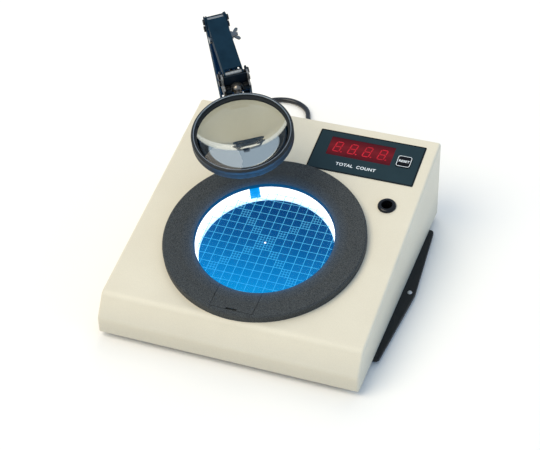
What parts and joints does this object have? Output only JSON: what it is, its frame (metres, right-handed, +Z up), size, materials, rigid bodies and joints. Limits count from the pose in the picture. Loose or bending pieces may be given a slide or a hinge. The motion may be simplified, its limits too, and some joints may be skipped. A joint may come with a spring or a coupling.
{
  "type": "bench-top colony counter",
  "caption": "Wedge-shaped bench counter with a round lit grid well, a red number display, a reset button and a magnifier on a folding arm.",
  "frame": {"origin": "on the table under the middle of the case with its rear fittings, measured without the cord", "axes": "+X to the operator's right, +Y to the rear, +Z up"},
  "size_m": [0.3234, 0.4887, 0.2323],
  "materials": {
    "cream_paint": "satin",
    "panel_paint": "satin",
    "steel": "satin",
    "spring_steel": "satin",
    "rubber": "matte",
    "black_plastic": "matte",
    "gloss_black": "gloss",
    "charcoal_plastic": "matte",
    "white_plastic": "satin",
    "blue_plastic": "gloss",
    "clear_glass": "gloss",
    "white_paint": "satin",
    "lamp_glass": "gloss",
    "label_film": "satin",
    "red_window": "gloss",
    "circuit_board": "satin",
    "arm_paint": "satin",
    "chrome": "polished",
    "lens_ring_black": "satin",
    "cord_black": "satin",
    "brass": "polished"
  },
  "bodies": {
    "case": {"top_cover": "cream_paint", "rear_panel": "panel_paint", "panel_screws": "steel", "base_plate": "panel_paint", "rubber_feet": "rubber", "side_grip_left": "black_plastic", "side_grip_right": "black_plastic", "grip_screws": "steel", "ring_bezel": "charcoal_plastic", "well_pan": "white_paint", "ring_lamp": "lamp_glass", "lamp_socket": "white_plastic", "lamp_clips": "spring_steel", "stage_springs": "spring_steel", "pressure_switch": "black_plastic", "display_label": "label_film", "display_window": "red_window", "digit_modules": "black_plastic", "display_board": "circuit_board", "reset_switch": "black_plastic", "pen_holder": "gloss_black", "main_board": "circuit_board", "buzzer": "black_plastic", "board_standoffs": "steel", "lamp_ballast": "black_plastic", "switch_housing": "black_plastic", "fuse_holder": "black_plastic", "arm_flange": "arm_paint", "flange_screws": "steel", "cord_gland": "rubber", "power_cord": "cord_black", "cord_coil": "cord_black", "cord_tie": "black_plastic", "plug_body": "cord_black", "plug_pins": "brass"},
    "stage": {"light_wall": "white_plastic", "grid_glass": "clear_glass", "field_plate": "blue_plastic"},
    "door": {"ring_door": "charcoal_plastic"},
    "reset": {"reset_button": "black_plastic"},
    "rocker": {"power_rocker": "gloss_black"},
    "fuse": {"fuse_cap": "black_plastic"},
    "turret": {"arm_turret": "arm_paint", "shoulder_pin": "chrome"},
    "lower_link": {"lower_arm": "arm_paint", "elbow_pins": "chrome"},
    "upper_link": {"upper_arm": "arm_paint", "clamp_bolt": "chrome"},
    "guide_link": {"parallel_link": "arm_paint"},
    "nut": {"wing_nut": "chrome"},
    "yoke": {"lens_yoke": "arm_paint", "socket_cap": "arm_paint", "yoke_screws": "steel", "yoke_pins": "chrome"},
    "ball": {"ball_stem": "chrome"},
    "magnifier": {"lens_ring": "lens_ring_black", "lens": "clear_glass", "lens_retainer": "lens_ring_black"}
  },
  "joints": [
    {"name": "reset_press", "type": "slide", "parent": "case", "child": "reset", "axis": [0, 0.1874, -0.9823], "range_m": [0, 0.0012], "stiffness_N_per_m": 800, "springref_m": -0.0012},
    {"name": "stage_press", "type": "slide", "parent": "case", "child": "stage", "axis": [0, 0.1874, -0.9823], "range_m": [0, 0.0012], "stiffness_N_per_m": 3000, "springref_m": -0.0022, "deforming": ["stage_springs"]},
    {"name": "door_lift", "type": "slide", "parent": "case", "child": "door", "axis": [0, -0.1874, 0.9823], "range_m": [0, 0.025]},
    {"name": "rocker_tilt", "type": "hinge", "parent": "case", "child": "rocker", "pos_m": [0.1, 0.1503, 0.06], "axis": [1, 0, 0], "range_deg": [0, 18]},
    {"name": "fuse_cap_turn", "type": "hinge", "parent": "case", "child": "fuse", "pos_m": [0.062, 0.1547, 0.06], "axis": [0, 1, 0], "range_deg": [0, 90]},
    {"name": "arm_swivel", "type": "hinge", "parent": "case", "child": "turret", "pos_m": [-0.0979, 0.13215, 0.11226], "axis": [0, -0.1874, 0.9823], "range_deg": [-75, 75]},
    {"name": "shoulder_hinge", "type": "hinge", "parent": "turret", "child": "lower_link", "pos_m": [-0.0979, 0.13065, 0.12012], "axis": [0.829, 0.5493, 0.1048], "range_deg": [-12, 18]},
    {"name": "elbow_hinge", "type": "hinge", "parent": "lower_link", "child": "upper_link", "pos_m": [-0.12088, 0.14539, 0.22473], "axis": [-0.829, -0.5493, -0.1048], "range_deg": [-20, 30]},
    {"name": "guide_hinge", "type": "hinge", "parent": "lower_link", "child": "guide_link", "pos_m": [-0.12088, 0.14726, 0.21491], "axis": [-0.829, -0.5493, -0.1048], "range_deg": [-20, 30]},
    {"name": "yoke_hinge", "type": "hinge", "parent": "upper_link", "child": "yoke", "pos_m": [-0.07654, 0.08324, 0.19964], "axis": [-0.829, -0.5493, -0.1048], "range_deg": [-30, 20]},
    {"name": "wing_nut_turn", "type": "hinge", "parent": "upper_link", "child": "nut", "pos_m": [-0.09639, 0.13578, 0.21493], "axis": [0.829, 0.5493, 0.1048], "range_deg": [-90, 180]},
    {"name": "ball_tilt", "type": "hinge", "parent": "yoke", "child": "ball", "pos_m": [-0.06966, 0.07548, 0.18595], "axis": [-0.9085, -0.4105, -0.0783], "range_deg": [-20, 20]},
    {"name": "lens_turn", "type": "hinge", "parent": "ball", "child": "magnifier", "pos_m": [-0.06966, 0.07548, 0.18595], "axis": [0.4163, -0.8731, -0.2535], "range_deg": [-40, 40]}
  ],
  "couplings": [
    {"joint": "guide_hinge", "follows": "elbow_hinge", "ratio": 1},
    {"joint": "yoke_hinge", "follows": "elbow_hinge", "ratio": -1}
  ]
}
